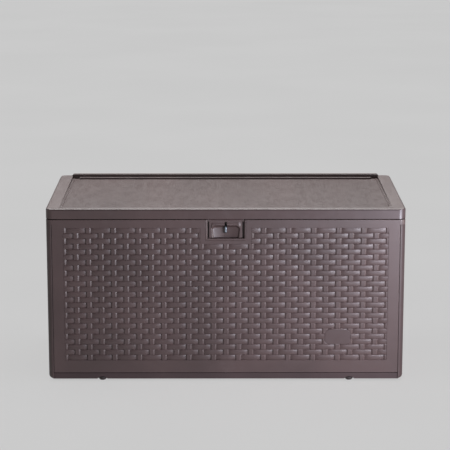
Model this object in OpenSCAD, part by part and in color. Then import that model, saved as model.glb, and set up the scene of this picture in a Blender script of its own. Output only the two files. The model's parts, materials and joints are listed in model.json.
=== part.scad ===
// Deck storage box: five moulded panels screwed together, a hinged lid and a hinged latch flap.
// X runs left to right, Y runs front to back and Z is up. The origin is on the ground,
// in the middle of the box's overall outline. Millimetres.

/* [Overall] */
// Width of the lid, left to right
lid_w = 1206; // [1140:2:1280]
// Depth from the lid's front face to the back of the hinge knuckles
overall_d = 590; // [540:2:640]
// Height of the seam's upper side, which is the lower edge of the lid
lid_z = 561; // [525:1:595]

/* [Body] */
// Wall thickness of the panels, the base and the lid
wall = 3; // [2.5:0.5:3.5]
// Outer radius of the four upright corners of the body
corner_r = 18.5; // [14:0.5:18.5]
// Width of the side panels' rounded returns, seen from the front
return_w = 19; // [19:0.5:21]
// Height of the base tray's outer skirt
skirt_h = 20; // [17:1:22]
// How far the base tray's skirt stands behind the panels
base_inset = 4; // [4:0.5:6]
// Shadow gap between parts that meet in a seam
seam = 2.5; // [1.5:0.5:3]
// How far the stiffening flanges reach into the box
flange_d = 20; // [18:1:22]
// Depth of the recess that holds the woven relief
relief_d = 1.5; // [1:0.5:2]

/* [Lid] */
// Height of the lid's skirt, up to where the front bevel starts
lid_skirt_h = 33; // [29:1:36]
// Depth of the bevel along the lid's front edge
bevel_d = 20; // [14:1:24]
// Rise of the front bevel
bevel_h = 4; // [3:1:6]
// How much the deck rises from front to back
deck_rise = 3.5; // [2:0.5:5]
// Width of the raised band along each side of the lid
band_w = 46; // [40:2:64]
// How much the side bands rise from front to back
band_rise = 12; // [4:1:14]
// Height of the rear rail above the deck
rail_h = 19; // [15:1:22]
// Depth of the rear rail, and of the low ledge in front of it
rail_d = 20; // [18:1:24]

/* [Hinges] */
// Outer radius of the hinge knuckles
knuckle_r = 5.5; // [5:0.5:6]
// Radius of the hinge pins
hinge_pin_r = 2.5; // [2:0.25:3]
// Width of one hinge
hinge_w = 90; // [70:2:110]
// Distance of the outer hinges from the middle one
hinge_pitch = 400; // [340:10:440]

/* [Latch] */
// Half of the latch flap's width
flap_hw = 55.5; // [52:0.5:66]
// Radius of the barrel along the flap's top edge
barrel_r = 6; // [5:0.5:6]
// Radius of the latch pin
latch_pin_r = 2; // [1.75:0.25:2.5]
// Radius of the padlock hole in the staple
padlock_r = 4; // [3:0.5:4]

/* [Feet] */
// Radius of a foot
foot_r = 14; // [12:0.5:15]
// Height of a foot below the base tray's bosses
foot_h = 12; // [10:1:13]
// Distance of the feet from the middle of the box
foot_x = 420; // [340:2:480]

/* [Hidden] */
$fn = 48;

// Colours
mocha = "#5b4c4a";
steel = "#a3a6ab";
black_rubber = "#2a2827";

// Running clearance on a radius, and the clearance round a screw
run_gap = 0.05;
screw_gap = 0.15;
// Overlap that makes a cut run clear of a face
eps = 1;
// Flats in each quarter of an upright corner
corner_steps = 8;

// Main planes. The body is a hair smaller than the lid above it.
lid_hw = lid_w / 2;
body_inset = 0.5;
side_seam = 1.5;
hw = lid_hw - body_inset;
lid_front = -overall_d / 2;
front = lid_front + body_inset;
hinge_y = overall_d / 2 - knuckle_r;
back = hinge_y - knuckle_r - 1.5;
hinge_z = lid_z;
skirt_z = 6;
base_top = skirt_z + skirt_h;
panel_z0 = base_top + seam;
panel_z1 = lid_z - seam;
ear_z = panel_z1 - 18;
seam_x = hw - return_w;
floor_t = wall;

// Woven fields: a flat margin is left all round
field_hw = 546;
field_z0 = panel_z0 + 43.5;
field_z1 = panel_z1 - 28;
plain_hw = 86;
plain_z = panel_z1 - 83;
back_field_z1 = panel_z1 - 70;
side_margin = 40;

// Latch: axis, pocket in the front panel, scoop and staple
pocket_hw = flap_hw + 5.5;
pocket_rim = 7;
pocket_z0 = panel_z1 - 64;
pocket_y = front + 17;
latch_y = front + 8;
latch_z = lid_z - barrel_r - 0.5;
flap_front = latch_y - barrel_r;
flap_back = flap_front + 12.5;
flap_z0 = pocket_z0 + 2.5;
rail_x = flap_hw - 9;
scoop_z1 = latch_z - 15.5;
scoop_t = 2;
scoop_depth = 10;
scoop_r = (rail_x * rail_x + scoop_depth * scoop_depth) / (2 * scoop_depth);
scoop_y = flap_front + 1.5 + scoop_depth - scoop_r;
slot_hw = 4.2;
slot_z1 = latch_z - 2.8;
staple_hw = 3;
staple_z0 = flap_z0 + 16;
staple_z1 = staple_z0 + 23.5;
staple_screw_z = staple_z0 + 11;
staple_tip = front + 0.3;
staple_plate_hw = 22;
eye_y = staple_tip + 3 + padlock_r;
eye_z = staple_z0 + 4.5 + padlock_r;

// Hinges
hinge_names = ["left", "middle", "right"];
hinge_x = [-hinge_pitch, 0, hinge_pitch];
leaf_t = wall;
leaf_h = 46;
lid_leaf_h = 30;
box_knuckle_w = 24;
knuckle_gap = 1;

// Screws: radius, head radius, head height
screw_r = 2;
head_r = 4;
head_h = 2;
corner_screw_z = [100, 280, 460];
flange_x = 560;
base_screw_x = [-480, -240, 0, 240, 480];
base_screw_y = [-170, 0, 170];
liner_screw_x = [-500, -170, 170, 500];
liner_screw_y = [-200, 180];
bumper_x = [-480, -180, 180, 480];

// Lid
deck_z = lid_z + lid_skirt_h + bevel_h;
deck_under = deck_z - wall;
deck_y0 = lid_front + bevel_d;
deck_y1 = back - rail_d;
deck_back_z = deck_z + deck_rise;
band_x = lid_hw - band_w;
band_chamfer = 6;
band_slope = atan(band_rise / (deck_y1 - deck_y0));
lid_corner_r = 24;
ledge_hw = 531;
ledge_h = 6;
ledge_d = 17;
rail_hw = 566;
rail_chamfer = 12;
liner_front = lid_front + 8;
liner_back = back - 14.5;
liner_hw = lid_hw - 6;
liner_z = lid_z + 11;
liner_t = 2.5;
boss_r = 5;

// Hand grips in the side panels
grip_hw = 70;
grip_z0 = panel_z1 - 112;
grip_z1 = panel_z1 - 68;
grip_depth = 25;
grip_y = (front + back) / 2;

// Feet and badge
foot_front_y = front + base_inset + foot_r + 1;
foot_back_y = back - base_inset - foot_r - 1;
foot_stem_r = 3.9;
foot_arch_hw = 17;
foot_arch_h = 8;
foot_arch_r = (foot_arch_hw * foot_arch_hw + foot_arch_h * foot_arch_h) / (2 * foot_arch_h);
badge_x = 379;
badge_z = 153;
badge_hw = 43;
badge_hh = 25;
badge_r = 16;

// A box between two corners
module block(x0, x1, y0, y1, z0, z1) {
  translate([x0, y0, z0])
    cube([x1 - x0, y1 - y0, z1 - z0]);
}

// A rod along X between two points
module rod_x(x0, x1, y, z, r) {
  translate([x0, y, z])
    rotate([0, 90, 0])
      cylinder(h = x1 - x0, r = r);
}

// A rod along Y between two points
module rod_y(x, y0, y1, z, r) {
  translate([x, y1, z])
    rotate([90, 0, 0])
      cylinder(h = y1 - y0, r = r);
}

// A rod along Z between two points
module rod_z(x, y, z0, z1, r) {
  translate([x, y, z0])
    cylinder(h = z1 - z0, r = r);
}

// A YZ outline drawn out along X
module profile_x(x0, x1, points) {
  translate([x0, 0, 0])
    rotate([90, 0, 90])
      linear_extrude(height = x1 - x0)
        polygon(points);
}

// Both sides of the middle plane
module both_sides() {
  children();
  mirror([1, 0, 0])
    children();
}

// One rounded corner, from angle a0 through a quarter turn
function quarter(cx, cy, r, a0) = [
  for (i = [0:corner_steps])
    [cx + r * cos(a0 + 90 * i / corner_steps), cy + r * sin(a0 + 90 * i / corner_steps)]
];

// A rectangle with four rounded corners
function rounded(x0, x1, y0, y1, r) = concat(
  quarter(x1 - r, y1 - r, r, 0),
  quarter(x0 + r, y1 - r, r, 90),
  quarter(x0 + r, y0 + r, r, 180),
  quarter(x1 - r, y0 + r, r, 270)
);

// The body's outline, moved in by some distance
function body_plan(inset) =
  rounded(-hw + inset, hw - inset, front + inset, back - inset, max(corner_r - inset, 2));

// The lid's outline, moved in by some distance
function lid_plan(inset) =
  rounded(-lid_hw + inset, lid_hw - inset, lid_front + inset, back - inset,
          max(lid_corner_r - inset, 2));

module slab(points, z0, z1) {
  translate([0, 0, z0])
    linear_extrude(height = z1 - z0)
      polygon(points);
}

// A rounded ring standing between two insets of the body's outline
module body_ring(inset0, inset1, z0, z1) {
  difference() {
    slab(body_plan(inset0), z0, z1);
    slab(body_plan(inset1), z0 - eps, z1 + eps);
  }
}

// ---- Base ----

// Where the feet stand, as [x, y]
foot_spots = [
  for (y = [foot_front_y, foot_back_y])
    for (x = [-foot_x, foot_x])
      [x, y]
];

// Where screws come up through the floor into the panels' bottom flanges, as [x, y]
function base_screw_spots() = concat(
  [for (x = base_screw_x) for (y = [front + 12, back - 12]) [x, y]],
  [for (y = base_screw_y) for (x = [-hw + 12, hw - 12]) [x, y]]
);

module base_ribs() {
  rib_t = 2.5;
  rib_z0 = skirt_z + 3;
  x_step = 2 * (hw - 10) / 12;
  y_step = (back - front - 20) / 6;
  intersection() {
    slab(body_plan(base_inset + wall / 2), rib_z0, base_top - floor_t);
    union() {
      for (i = [1:11])
        block(-hw + 10 + i * x_step - rib_t / 2, -hw + 10 + i * x_step + rib_t / 2,
              front, back, rib_z0, base_top);
      for (i = [1:5])
        block(-hw, hw, front + 10 + i * y_step - rib_t / 2, front + 10 + i * y_step + rib_t / 2,
              rib_z0, base_top);
    }
  }
}

// Tray with an outer skirt, a floor, ribs below it and an inner curb that locates the panels
module base_tray() {
  seat_inset = base_inset + 6;
  curb_inset = wall + flange_d + 2;
  color(mocha)
    difference() {
      union() {
        body_ring(base_inset, base_inset + wall, skirt_z, base_top);
        slab(body_plan(base_inset + wall / 2), base_top - floor_t, base_top);
        body_ring(seat_inset, seat_inset + wall, base_top - eps, panel_z0);
        body_ring(curb_inset, curb_inset + wall, base_top - eps, base_top + 22);
        base_ribs();
        for (p = foot_spots)
          rod_z(p[0], p[1], foot_h, base_top - eps, foot_r - 0.5);
      }
      for (p = foot_spots) {
        rod_z(p[0], p[1], skirt_z - eps, foot_h, foot_r + 2);
        rod_z(p[0], p[1], foot_h - eps, foot_h + 8, foot_stem_r + screw_gap);
      }
      // shallow arches in the skirt, in front of and behind the feet
      for (x = [-foot_x, foot_x])
        for (y = [front - eps, back - base_inset - wall - eps])
          rod_y(x, y, y + base_inset + wall + 2 * eps, skirt_z + foot_arch_h - foot_arch_r,
                foot_arch_r);
      for (p = base_screw_spots()) {
        rod_z(p[0], p[1], skirt_z, panel_z0 + eps, screw_r + screw_gap);
        rod_z(p[0], p[1], skirt_z, base_top - floor_t, head_r + 1);
      }
    }
}

// A pressed-in foot with a sloping lower edge
module foot(p) {
  edge = 5;
  color(mocha)
    translate([p[0], p[1], 0])
      rotate_extrude()
        polygon([
          [0, 0], [foot_r - edge, 0], [foot_r, edge], [foot_r, foot_h],
          [foot_stem_r, foot_h], [foot_stem_r, foot_h + 7], [0, foot_h + 7]
        ]);
}

// ---- Panels ----

// Bottom flange and top flange of a front or back panel, on the inner side of y
module long_flanges(y_in, y_out) {
  y0 = min(y_in, y_out);
  y1 = max(y_in, y_out);
  block(-flange_x + wall, flange_x - wall, y0, y1, panel_z0, panel_z0 + wall);
  block(-flange_x + wall, flange_x - wall, y0, y1, panel_z1 - wall, panel_z1);
  both_sides()
    block(flange_x - wall, flange_x, y0, y1, panel_z0, panel_z1);
}

module corner_screw_holes(y) {
  for (z = corner_screw_z)
    both_sides()
      rod_x(flange_x - 2 * wall, flange_x + 3 * wall, y, z, screw_r + screw_gap);
}

module base_screw_holes() {
  for (p = base_screw_spots())
    rod_z(p[0], p[1], panel_z0 - eps, panel_z0 + wall + eps, screw_r + screw_gap);
}

module front_panel() {
  inner = front + wall + relief_d;
  color(mocha)
    difference() {
      union() {
        intersection() {
          body_ring(0, wall, panel_z0, panel_z1);
          block(-seam_x, seam_x, front - eps, 0, 0, lid_z);
        }
        intersection() {
          body_ring(0, wall, ear_z + 0.5, panel_z1);
          block(-lid_w, lid_w, front - eps, front + corner_r, 0, lid_z);
        }
        block(-flange_x + wall, flange_x - wall, front + eps, inner, panel_z0, panel_z1);
        long_flanges(front + eps, front + wall + flange_d);
      }
      difference() {
        block(-field_hw, field_hw, front - eps, front + relief_d, field_z0, field_z1);
        block(-plain_hw, plain_hw, front - eps, front + relief_d + eps, plain_z, field_z1 + eps);
      }
      block(-pocket_hw - pocket_rim, pocket_hw + pocket_rim, front - eps, pocket_y + 2 * wall,
            pocket_z0 - pocket_rim, lid_z);
      corner_screw_holes(front + 15);
      base_screw_holes();
      rod_y(badge_x, front - eps, inner + eps, badge_z, 2 + screw_gap);
    }
}

// Cup in the front panel's notch, with a lip behind the panel and a rib that fills the lower
// part of the latch flap's slot, flush with the scoop's floor
module latch_housing() {
  lip = 8;
  lip_y = front + wall + relief_d;
  color(mocha)
    difference() {
      union() {
        difference() {
          union() {
            block(-pocket_hw - pocket_rim, pocket_hw + pocket_rim, front, pocket_y + wall,
                  pocket_z0 - pocket_rim, panel_z1);
            block(-pocket_hw - pocket_rim - lip, pocket_hw + pocket_rim + lip, lip_y,
                  lip_y + wall, pocket_z0 - pocket_rim - lip, panel_z1 - wall);
          }
          block(-pocket_hw, pocket_hw, front - eps, pocket_y, pocket_z0, lid_z);
        }
        block(-slot_hw + 0.5, slot_hw - 0.5, scoop_y + scoop_r, pocket_y + eps,
              flap_z0, staple_z0 - 1);
      }
      block(-staple_hw - 0.2, staple_hw + 0.2, pocket_y - eps, pocket_y + 2 * wall,
            staple_z0 - 0.2, staple_z1 + 0.2);
      for (x = [-14, 14])
        rod_y(x, pocket_y - eps, pocket_y + 2 * wall, staple_screw_z, screw_r + screw_gap);
    }
}

module back_panel() {
  inner = back - wall - relief_d;
  color(mocha)
    difference() {
      union() {
        intersection() {
          body_ring(0, wall, panel_z0, panel_z1);
          block(-seam_x, seam_x, 0, back + eps, 0, lid_z);
        }
        intersection() {
          body_ring(0, wall, ear_z + 0.5, panel_z1);
          block(-lid_w, lid_w, back - corner_r, back + eps, 0, lid_z);
        }
        block(-flange_x + wall, flange_x - wall, inner, back - eps, panel_z0, panel_z1);
        long_flanges(back - eps, back - wall - flange_d);
        for (x = hinge_x)
          block(x - hinge_w / 2, x + hinge_w / 2, back - 15, back - eps,
                panel_z1 - leaf_h - 2, panel_z1);
      }
      block(-field_hw, field_hw, back - relief_d, back + eps, field_z0, back_field_z1);
      for (x = hinge_x)
        box_hinge_screw_set(x, 14, screw_r + screw_gap);
      corner_screw_holes(back - 15);
      base_screw_holes();
    }
}

// One side panel, on the right: a C in plan, with laps that reach behind the front and back panels
module side_panel() {
  lap_y0 = front + wall;
  lap_y1 = back - wall;
  color(mocha)
    difference() {
      union() {
        difference() {
          intersection() {
            body_ring(0, wall, skirt_z + 1, panel_z1);
            block(seam_x + side_seam, lid_w, front - eps, back + eps, 0, lid_z);
          }
          block(0, lid_w, front - eps, front + corner_r + 0.5, ear_z, lid_z);
          block(0, lid_w, back - corner_r - 0.5, back + eps, ear_z, lid_z);
        }
        // laps
        block(flange_x, hw - wall - 9, lap_y0, lap_y0 + wall, panel_z0, ear_z);
        block(flange_x, hw - wall - 9, lap_y1 - wall, lap_y1, panel_z0, ear_z);
        block(flange_x, flange_x + wall, lap_y0, front + wall + flange_d, panel_z0, ear_z);
        block(flange_x, flange_x + wall, back - wall - flange_d, lap_y1, panel_z0, ear_z);
        // doubled skin behind the woven field
        block(hw - wall - relief_d, hw - eps, front + corner_r, back - corner_r,
              panel_z0, panel_z1);
        // flanges
        block(hw - wall - flange_d, hw - eps, front + 32, back - 32, panel_z0, panel_z0 + wall);
        block(hw - wall - flange_d, hw - eps, front + 32, back - 32, panel_z1 - wall, panel_z1);
        // grip cup
        block(hw - grip_depth - wall, hw - eps, grip_y - grip_hw - wall, grip_y + grip_hw + wall,
              grip_z0 - wall, grip_z1 + wall);
      }
      difference() {
        block(hw - relief_d, hw + eps, front + side_margin, back - side_margin,
              field_z0, field_z1);
        block(hw - relief_d - eps, hw + eps, grip_y - grip_hw - 25, grip_y + grip_hw + 25,
              grip_z0 - 25, field_z1 + eps);
      }
      block(hw - grip_depth, hw + eps, grip_y - grip_hw, grip_y + grip_hw, grip_z0, grip_z1);
      corner_screw_holes(front + 15);
      corner_screw_holes(back - 15);
      base_screw_holes();
    }
}

module blank_badge() {
  // The middle of the badge's front is a hair behind the panel's plain margin
  color(mocha)
    difference() {
      union() {
        for (x = [-1, 1])
          for (z = [-1, 1])
            rod_y(badge_x + x * (badge_hw - badge_r), front, front + relief_d,
                  badge_z + z * (badge_hh - badge_r), badge_r);
        block(badge_x - badge_hw + badge_r, badge_x + badge_hw - badge_r,
              front, front + relief_d, badge_z - badge_hh, badge_z + badge_hh);
        block(badge_x - badge_hw, badge_x + badge_hw, front, front + relief_d,
              badge_z - badge_hh + badge_r, badge_z + badge_hh - badge_r);
        rod_y(badge_x, front + 1, front + wall + relief_d + 1, badge_z, 2);
      }
      block(badge_x - badge_hw - eps, badge_x + badge_hw + eps, front - eps, front + 0.2,
            badge_z - badge_hh - eps, badge_z + badge_hh + eps);
    }
}

module lid_bumpers() {
  color(black_rubber)
    for (x = bumper_x)
      rod_z(x, front + 11.5, panel_z1, lid_z - 0.3, 5);
}

// ---- Lid ----

// Outer side of the lid along Y, for the deck or for a band that rises towards the back
function lid_outline(rise) = [
  [lid_front, lid_z], [lid_front, lid_z + lid_skirt_h], [lid_front + bevel_d, deck_z],
  [back - rail_d, deck_z + rise], [back, deck_z + rise], [back, lid_z]
];

// Inner side of the lid along Y, one wall inside the outer side
function lid_inside(rise) = [
  [lid_front + wall, lid_z - eps], [lid_front + wall, lid_z + lid_skirt_h - wall],
  [lid_front + bevel_d, deck_under], [back - rail_d, deck_under + rise],
  [back - wall, deck_under + rise], [back - wall, lid_z - eps]
];

// The rear rail's face across X, with cut-off ends
module rail(x_half, y0, y1, z0, z1, cut) {
  translate([0, y1, 0])
    rotate([90, 0, 0])
      linear_extrude(height = y1 - y0)
        polygon([
          [-x_half, z0], [x_half, z0], [x_half, z1 - cut], [x_half - cut, z1],
          [-x_half + cut, z1], [-x_half, z1 - cut]
        ]);
}

function liner_screw_spots() = [for (x = liner_screw_x) for (y = liner_screw_y) [x, y]];

// Height of the deck's underside at some depth
function under_deck(y) = deck_under + deck_rise * max(y - deck_y0, 0) / (deck_y1 - deck_y0);

module lid_bosses() {
  for (p = liner_screw_spots())
    rod_z(p[0], p[1], liner_z + liner_t, under_deck(p[1]) + 1, boss_r);
  for (x = [-40, 40])
    rod_z(x, lid_front + 13, liner_z + 8, deck_under + 1, boss_r);
  for (x = hinge_x)
    block(x - hinge_w / 2, x + hinge_w / 2, back - 13, back - eps, lid_z + 5, deck_z + 2);
}

module lid_shell() {
  color(mocha)
    difference() {
      union() {
        difference() {
          union() {
            intersection() {
              union() {
                profile_x(-lid_hw, lid_hw, lid_outline(deck_rise));
                both_sides()
                  profile_x(band_x, lid_hw, lid_outline(band_rise));
              }
              slab(lid_plan(0), lid_z - eps, deck_z + 60);
            }
            rail(rail_hw, deck_y1, back, deck_z, deck_z + rail_h, rail_chamfer);
          }
          intersection() {
            union() {
              profile_x(-lid_hw, lid_hw, lid_inside(deck_rise));
              both_sides()
                profile_x(band_x + wall, lid_hw, lid_inside(band_rise));
            }
            slab(lid_plan(wall), 0, deck_z + 60);
          }
          // the bands' outer edges, cut off along their rise
          both_sides()
            translate([lid_hw, deck_y0, deck_z])
              rotate([band_slope, 0, 0])
                rotate([0, 45, 0])
                  translate([-overall_d, -overall_d, -band_chamfer / sqrt(2)])
                    cube(2 * overall_d);
          // the rear rail is hollow, and open on the inside
          rail(rail_hw - wall, deck_y1 + wall, back - wall, deck_under - eps,
               deck_z + rail_h - wall, rail_chamfer);
        }
        block(-ledge_hw, ledge_hw, deck_y1 - ledge_d, deck_y1 + eps, deck_z, deck_back_z + ledge_h);
        lid_bosses();
      }
      for (p = liner_screw_spots())
        rod_z(p[0], p[1], liner_z, liner_z + 16, screw_r + screw_gap);
      for (x = [-40, 40])
        rod_z(x, lid_front + 13, liner_z, liner_z + 18, screw_r + screw_gap);
      for (x = hinge_x)
        lid_hinge_screw_set(x, 12, screw_r + screw_gap);
    }
}

// Ribbed inner panel that stiffens the deck, with a rim that rests on the bumpers
module lid_liner() {
  outline = rounded(-liner_hw, liner_hw, liner_front, liner_back, 18);
  inner = rounded(-liner_hw + liner_t, liner_hw - liner_t, liner_front + liner_t,
                  liner_back - liner_t, 18 - liner_t);
  rib_t = 2;
  color(mocha)
    difference() {
      union() {
        slab(outline, liner_z, liner_z + liner_t);
        difference() {
          slab(outline, lid_z, liner_z + eps);
          slab(inner, lid_z - eps, liner_z + 2 * eps);
        }
        for (x = [-540:135:540])
          block(x - rib_t / 2, x + rib_t / 2, liner_front + 12, liner_back - 12, liner_z + eps,
                deck_under);
        for (y = [-235:117:233])
          block(-541, 541, y - rib_t / 2, y + rib_t / 2, liner_z + eps, deck_under);
      }
      block(-pocket_hw - 6, pocket_hw + 6, liner_front - eps, lid_front + 24, 0, deck_z);
      for (p = liner_screw_spots()) {
        rod_z(p[0], p[1], lid_z, deck_z, screw_r + screw_gap);
        rod_z(p[0], p[1], liner_z + liner_t, deck_z, boss_r + 0.5);
      }
    }
}

// ---- Latch ----

// Two lugs that carry the latch pin, on a plate screwed up into the lid
module latch_bracket() {
  tab_z = liner_z + 5;
  color(mocha)
    difference() {
      union() {
        block(-pocket_hw + 1, pocket_hw - 1, lid_front + wall, lid_front + 2 * wall,
              lid_z + 2, tab_z + wall);
        block(-pocket_hw + 1, pocket_hw - 1, lid_front + wall, lid_front + 20, tab_z,
              tab_z + wall);
        both_sides() {
          block(flap_hw + 1, pocket_hw - 1, lid_front + wall + 0.5, latch_y + 5, latch_z,
                tab_z + eps);
          rod_x(flap_hw + 1, pocket_hw - 1, latch_y, latch_z, barrel_r - 0.5);
        }
      }
      rod_x(-lid_hw, lid_hw, latch_y, latch_z, latch_pin_r + run_gap);
      for (x = [-40, 40])
        rod_z(x, lid_front + 13, tab_z - eps, tab_z + 2 * wall, screw_r + screw_gap);
    }
}

module latch_pin() {
  color(steel)
    rod_x(-pocket_hw + 1, pocket_hw - 1, latch_y, latch_z, latch_pin_r);
}

// Flap with a barrel on top, two side rails and a finger scoop that is hollow in plan.
// The slot is open at the bottom, so the flap can swing out or lift past the fixed staple.
module latch_flap() {
  color(mocha)
    difference() {
      union() {
        rod_x(-flap_hw, flap_hw, latch_y, latch_z, barrel_r);
        block(-flap_hw, flap_hw, flap_front, flap_front + wall, scoop_z1 - 1, latch_z);
        intersection() {
          block(-rail_x - 1, rail_x + 1, flap_front, pocket_y - 0.5, flap_z0, scoop_z1 + 1);
          difference() {
            rod_z(0, scoop_y, flap_z0 - 1, scoop_z1 + 2, scoop_r + scoop_t);
            rod_z(0, scoop_y, flap_z0 - 2, scoop_z1 + 3, scoop_r);
          }
        }
        block(-rail_x - 1, rail_x + 1, flap_front, flap_back, scoop_z1, scoop_z1 + 2.5);
        both_sides()
          block(rail_x, flap_hw, flap_front, flap_back, flap_z0, latch_z);
      }
      block(-slot_hw, slot_hw, flap_front - eps, pocket_y, flap_z0 - eps, slot_z1);
      rod_x(-lid_hw, lid_hw, latch_y, latch_z, latch_pin_r + run_gap);
    }
}

// Steel blade with a padlock hole, and the plate that holds it behind the pocket's wall
module lock_staple() {
  cut = 4;
  color(steel)
    difference() {
      union() {
        profile_x(-staple_hw, staple_hw, [
          [staple_tip + cut, staple_z0], [pocket_y + wall + eps, staple_z0],
          [pocket_y + wall + eps, staple_z1], [staple_tip + cut, staple_z1],
          [staple_tip, staple_z1 - cut], [staple_tip, staple_z0 + cut]
        ]);
        block(-staple_plate_hw, staple_plate_hw, pocket_y + wall, pocket_y + wall + 2,
              staple_z0 - 7, staple_z1 + 7);
      }
      rod_x(-lid_hw, lid_hw, eye_y, eye_z, padlock_r);
      for (x = [-14, 14])
        rod_y(x, pocket_y, pocket_y + 2 * wall, staple_screw_z, screw_r + screw_gap);
    }
}

// ---- Hinges ----

// Leaf with knuckles at both ends, fixed to the back panel
module box_hinge_leaf(x) {
  half = hinge_w / 2;
  color(mocha)
    difference() {
      union() {
        block(x - half, x + half, back, back + leaf_t, hinge_z - leaf_h, hinge_z - knuckle_r - 1);
        for (s = [-1, 1]) {
          x0 = min(x + s * half, x + s * (half - box_knuckle_w));
          block(x0, x0 + box_knuckle_w, back, back + leaf_t, hinge_z - knuckle_r - 2, hinge_z);
          rod_x(x0, x0 + box_knuckle_w, hinge_y, hinge_z, knuckle_r);
        }
      }
      rod_x(x - half - eps, x + half + eps, hinge_y, hinge_z, hinge_pin_r + run_gap);
      box_hinge_screw_set(x, 14, screw_r + screw_gap);
    }
}

// Leaf with one knuckle in the middle, fixed to the lid's rear skirt
module lid_hinge_leaf(x) {
  half = hinge_w / 2;
  knuckle_half = half - box_knuckle_w - knuckle_gap;
  color(mocha)
    difference() {
      union() {
        block(x - half, x + half, back, back + leaf_t, hinge_z + knuckle_r + 1,
              hinge_z + lid_leaf_h);
        block(x - knuckle_half, x + knuckle_half, back, back + leaf_t, hinge_z,
              hinge_z + knuckle_r + 2);
        rod_x(x - knuckle_half, x + knuckle_half, hinge_y, hinge_z, knuckle_r);
      }
      rod_x(x - half - eps, x + half + eps, hinge_y, hinge_z, hinge_pin_r + run_gap);
      lid_hinge_screw_set(x, 12, screw_r + screw_gap);
    }
}

// Pin with a low head at one end
module hinge_pin(x) {
  half = hinge_w / 2;
  color(steel) {
    rod_x(x - half - 1, x + half, hinge_y, hinge_z, hinge_pin_r);
    rod_x(x + half, x + half + 2, hinge_y, hinge_z, hinge_pin_r + 1.5);
  }
}

// ---- Screws ----

// A pan-head screw along an axis; it points down before it is turned
module screw(length, r = screw_r) {
  cylinder(h = head_h, r = head_r);
  translate([0, 0, -length])
    cylinder(h = length + eps, r = r);
}

// Four holes or shanks through a box hinge leaf, along Y
module box_hinge_screw_set(x, length, r) {
  for (dx = [-30, 30])
    for (z = [hinge_z - leaf_h + 9, hinge_z - 18])
      rod_y(x + dx, back + leaf_t - length, back + leaf_t + eps, z, r);
}

// Two holes or shanks through a lid hinge leaf, along Y
module lid_hinge_screw_set(x, length, r) {
  for (dx = [-30, 30])
    rod_y(x + dx, back + leaf_t - length, back + leaf_t + eps, hinge_z + 18, r);
}

module box_hinge_screws() {
  color(steel)
    for (x = hinge_x)
      for (dx = [-30, 30])
        for (z = [hinge_z - leaf_h + 9, hinge_z - 18])
          translate([x + dx, back + leaf_t, z])
            rotate([-90, 0, 0])
              screw(13);
}

module lid_hinge_screws() {
  color(steel)
    for (x = hinge_x)
      for (dx = [-30, 30])
        translate([x + dx, back + leaf_t, hinge_z + 18])
          rotate([-90, 0, 0])
            screw(11);
}

module corner_screws() {
  color(steel)
    for (y = [front + 15, back - 15])
      for (z = corner_screw_z)
        both_sides()
          translate([flange_x - wall, y, z])
            rotate([0, -90, 0])
              screw(8);
}

module base_screws() {
  color(steel)
    for (p = base_screw_spots())
      translate([p[0], p[1], base_top - floor_t])
        rotate([180, 0, 0])
          screw(floor_t + seam + 4);
}

module staple_screws() {
  color(steel)
    for (x = [-14, 14])
      translate([x, pocket_y + wall + 2, staple_screw_z])
        rotate([-90, 0, 0])
          screw(4.5);
}

module latch_bracket_screws() {
  color(steel)
    for (x = [-40, 40])
      translate([x, lid_front + 13, liner_z + 5])
        rotate([180, 0, 0])
          screw(12);
}

module liner_screws() {
  color(steel)
    for (p = liner_screw_spots())
      translate([p[0], p[1], liner_z])
        rotate([180, 0, 0])
          screw(15);
}

base_tray();
front_panel();
back_panel();
mirror([1, 0, 0]) side_panel();  // left_side_panel
side_panel();  // right_side_panel
latch_housing();
lid_shell();
lid_liner();
latch_bracket();
latch_pin();
latch_flap();
lock_staple();
blank_badge();
lid_bumpers();
for (i = [0:2]) {
  box_hinge_leaf(hinge_x[i]);
  lid_hinge_leaf(hinge_x[i]);
  hinge_pin(hinge_x[i]);
}
foot(foot_spots[0]);  // front_left_foot
foot(foot_spots[1]);  // front_right_foot
foot(foot_spots[2]);  // rear_left_foot
foot(foot_spots[3]);  // rear_right_foot
corner_screws();
base_screws();
box_hinge_screws();
lid_hinge_screws();
staple_screws();
latch_bracket_screws();
liner_screws();
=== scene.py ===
"""Deck storage box of moulded resin: woven mocha panels, a hinged lid and a hinged latch flap.

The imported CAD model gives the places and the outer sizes. Each piece starts from its own CAD mesh:
edges are rounded and the woven fields are laid in as fine meshes. The latch flap alone is built
anew, to the CAD's size. Lengths are metres.
"""
import json
import math

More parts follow.
